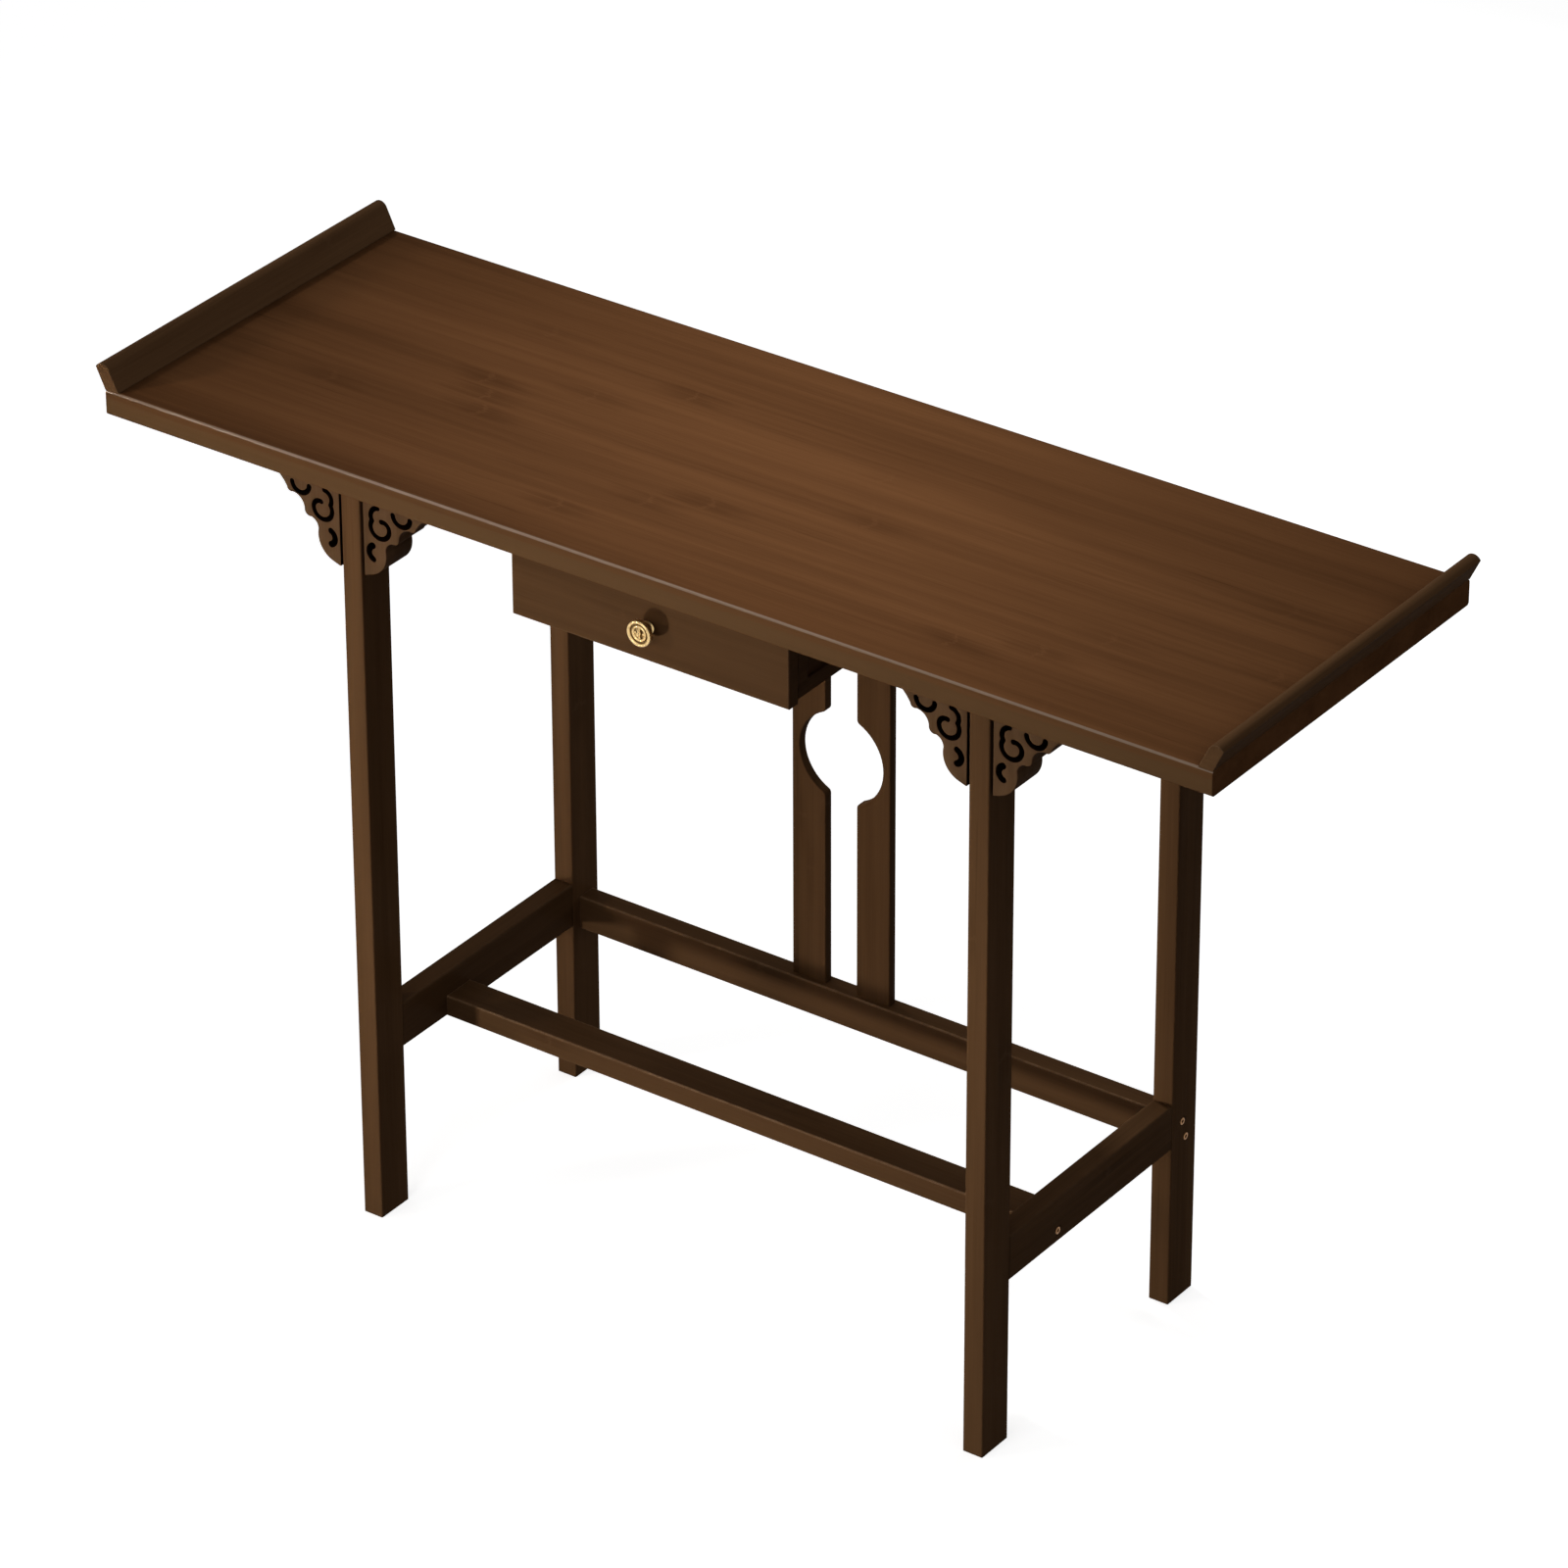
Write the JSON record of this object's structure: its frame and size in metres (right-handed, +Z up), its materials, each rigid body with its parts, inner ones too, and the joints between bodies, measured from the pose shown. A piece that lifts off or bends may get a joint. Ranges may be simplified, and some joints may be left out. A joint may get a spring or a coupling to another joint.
{
  "type": "altar table",
  "caption": "Long slim altar table in stained bamboo with upturned ends, carved scroll spandrels, a moon-gate back panel, low stretchers and a shallow drawer with a brass knob.",
  "frame": {"origin": "on the floor, under the middle of the table's overall box", "axes": "+X along the top to the right as seen from the drawer side, -Y towards the drawer side, +Z up"},
  "size_m": [1.2, 0.404, 0.8254],
  "materials": {
    "stained_bamboo": "walnut-brown stained laminated bamboo under a satin lacquer",
    "drawer_bamboo": "carbonised bamboo, oiled, of the drawer's box and runners",
    "dowel_wood": "plain turned bamboo dowel",
    "brass": "polished turned brass, a little aged",
    "coppered_steel": "copper-plated flat bolt head",
    "zinc_steel": "zinc-plated screw"
  },
  "bodies": {
    "table_frame": {"tabletop": "stained_bamboo", "end_flange_left": "stained_bamboo", "end_flange_right": "stained_bamboo", "leg_front_left": "stained_bamboo", "leg_front_right": "stained_bamboo", "leg_back_left": "stained_bamboo", "leg_back_right": "stained_bamboo", "upper_side_rail_left": "stained_bamboo", "upper_side_rail_right": "stained_bamboo", "upper_back_rail": "stained_bamboo", "side_stretcher_left": "stained_bamboo", "side_stretcher_right": "stained_bamboo", "back_stretcher": "stained_bamboo", "front_stretcher": "stained_bamboo", "splat_left": "stained_bamboo", "splat_right": "stained_bamboo", "spandrel_left_outer": "stained_bamboo", "spandrel_left_inner": "stained_bamboo", "spandrel_right_inner": "stained_bamboo", "spandrel_right_outer": "stained_bamboo", "drawer_case_side_left": "stained_bamboo", "drawer_case_side_right": "stained_bamboo", "drawer_case_back": "stained_bamboo", "drawer_runner_left": "drawer_bamboo", "drawer_runner_right": "drawer_bamboo", "rail_dowels": "dowel_wood", "spandrel_pegs": "dowel_wood", "flange_pegs": "dowel_wood", "case_pegs": "dowel_wood", "stretcher_bolts": "coppered_steel", "threaded_inserts": "zinc_steel", "top_screws": "zinc_steel", "runner_screws": "zinc_steel"},
    "drawer": {"drawer_front": "stained_bamboo", "drawer_side_left": "drawer_bamboo", "drawer_side_right": "drawer_bamboo", "drawer_back": "drawer_bamboo", "drawer_bottom": "drawer_bamboo", "drawer_pegs": "dowel_wood", "knob": "brass", "knob_screw": "zinc_steel"}
  },
  "joints": [
    {"name": "drawer_slide", "type": "slide", "parent": "table_frame", "child": "drawer", "axis": [0, -1, 0], "range_m": [0, 0.2]}
  ]
}
